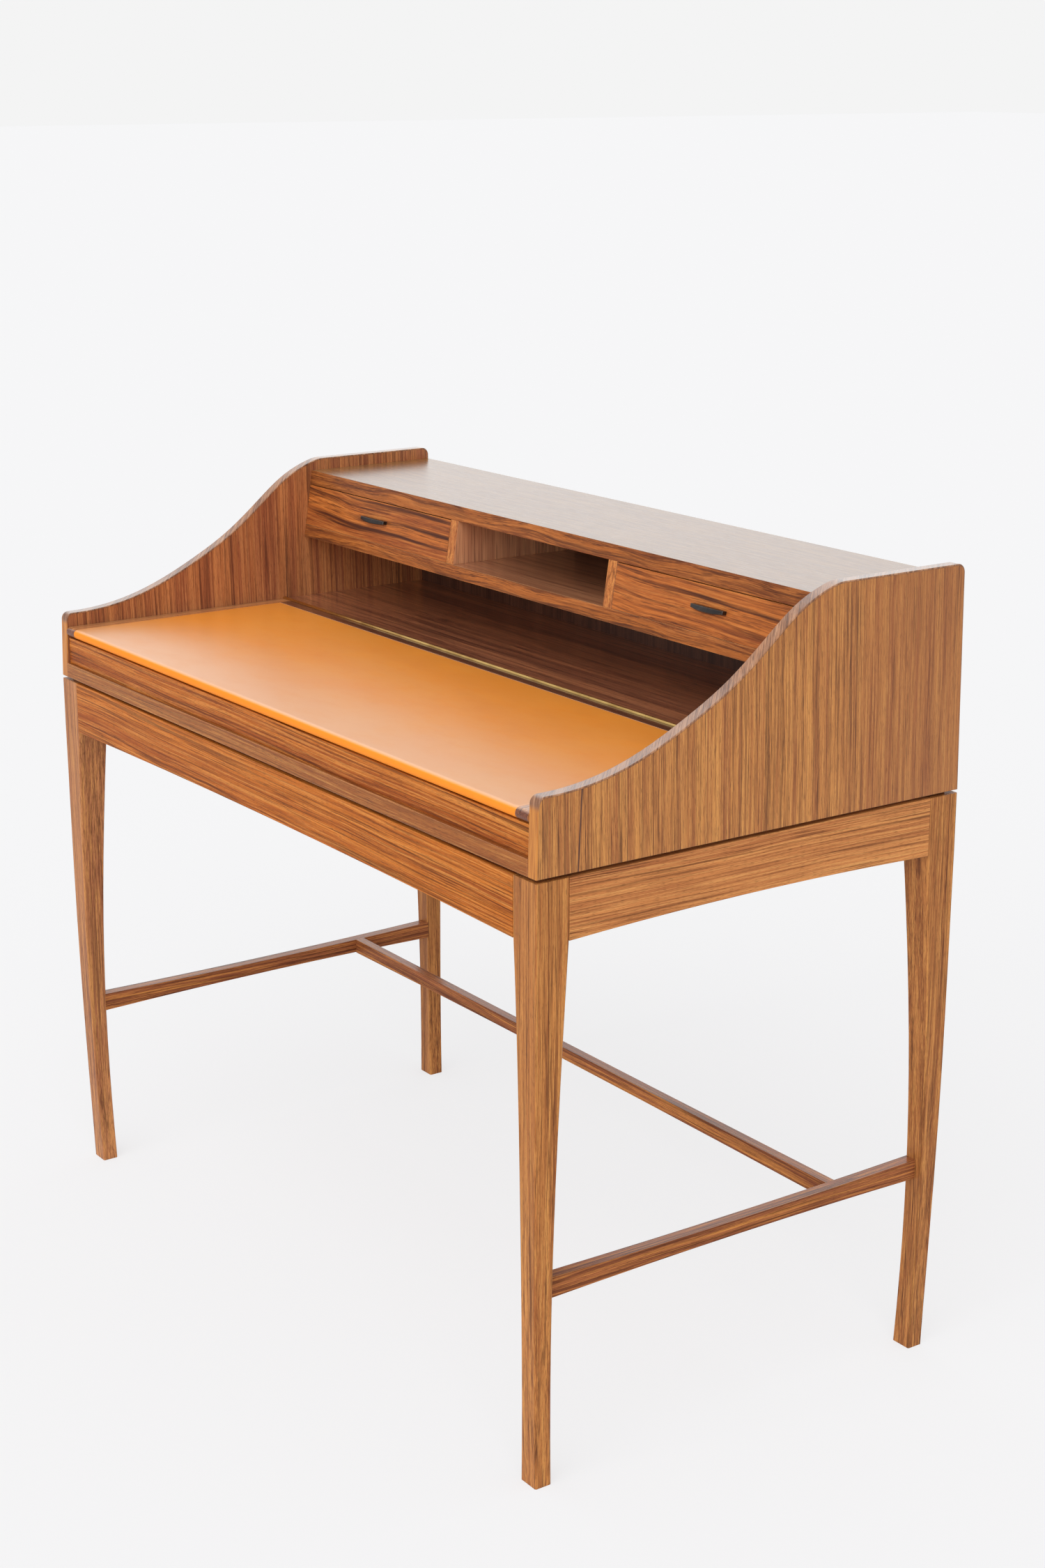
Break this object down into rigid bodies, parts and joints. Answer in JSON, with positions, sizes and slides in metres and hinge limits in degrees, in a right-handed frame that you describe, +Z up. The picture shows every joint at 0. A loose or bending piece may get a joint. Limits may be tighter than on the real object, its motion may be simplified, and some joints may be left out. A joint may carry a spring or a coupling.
{
  "type": "writing desk",
  "caption": "Writing desk with S-curved sides, a leather-faced lift-up lid on a piano hinge, a raked gallery with drawers and an open pigeonhole, on bowed legs with stretchers.",
  "frame": {"origin": "on the floor, below the middle of the desk's bounding box", "axes": "+Z up, -Y towards the sitter, +X to the sitter's right"},
  "size_m": [1.06, 0.56, 0.918],
  "materials": {
    "leg_wood": "satin lacquered teak, grain upright",
    "rail_wood": "satin lacquered teak, grain along the piece",
    "panel_wood": "satin lacquered teak veneer, grain upright",
    "band_wood": "satin lacquered lipping",
    "case_wood": "satin lacquered teak veneer, grain across the desk",
    "back_wood": "satin lacquered teak veneer, grain upright",
    "drawer_wood": "satin lacquered figured veneer, grain across",
    "drawer_box_wood": "bare pale hardwood",
    "lid_wood": "satin lacquered dark hardwood",
    "core_wood": "bare board under the leather",
    "batten_wood": "dark stained hardwood",
    "leather": "smooth tan hide, soft sheen",
    "brass": "satin",
    "steel": "plain",
    "pull_metal": "dark satin"
  },
  "bodies": {
    "desk": {"leg_front_left": "leg_wood", "leg_front_right": "leg_wood", "leg_back_left": "leg_wood", "leg_back_right": "leg_wood", "apron_front": "rail_wood", "apron_back": "rail_wood", "apron_left": "rail_wood", "apron_right": "rail_wood", "stretcher_left": "rail_wood", "stretcher_right": "rail_wood", "stretcher_long": "rail_wood", "batten_front": "batten_wood", "batten_back": "batten_wood", "batten_left": "batten_wood", "batten_right": "batten_wood", "lid_rest_left": "batten_wood", "lid_rest_right": "batten_wood", "side_panel_left": "panel_wood", "side_panel_right": "panel_wood", "side_band_left": "band_wood", "side_band_right": "band_wood", "case_bottom": "case_wood", "front_board": "case_wood", "rear_desk": "case_wood", "gallery_shelf": "case_wood", "gallery_top": "case_wood", "divider_left": "case_wood", "divider_right": "case_wood", "back_panel": "back_wood", "hinge_leaf_fixed": "brass", "hinge_pin": "brass", "hinge_screws_fixed": "brass", "case_screws": "steel"},
    "lid": {"lid_core": "core_wood", "lid_leather": "leather", "lid_end_left": "lid_wood", "lid_end_right": "lid_wood", "lid_rear_rail": "lid_wood", "hinge_leaf_lid": "brass", "hinge_screws_lid": "brass"},
    "drawer_left": {"drawer_left_front": "drawer_wood", "drawer_left_inner_side": "drawer_box_wood", "drawer_left_outer_side": "drawer_box_wood", "drawer_left_back": "drawer_box_wood", "drawer_left_bottom": "drawer_box_wood", "drawer_left_pull": "pull_metal", "drawer_left_pull_screws": "steel"},
    "drawer_right": {"drawer_right_front": "drawer_wood", "drawer_right_inner_side": "drawer_box_wood", "drawer_right_outer_side": "drawer_box_wood", "drawer_right_back": "drawer_box_wood", "drawer_right_bottom": "drawer_box_wood", "drawer_right_pull": "pull_metal", "drawer_right_pull_screws": "steel"}
  },
  "joints": [
    {"name": "lid_hinge", "type": "hinge", "parent": "desk", "child": "lid", "pos_m": [0, 0.042, 0.734], "axis": [-1, 0, 0], "range_deg": [0, 50]},
    {"name": "drawer_left_slide", "type": "slide", "parent": "desk", "child": "drawer_left", "axis": [0, -1, 0], "range_m": [0, 0.11]},
    {"name": "drawer_right_slide", "type": "slide", "parent": "desk", "child": "drawer_right", "axis": [0, -1, 0], "range_m": [0, 0.11]}
  ]
}
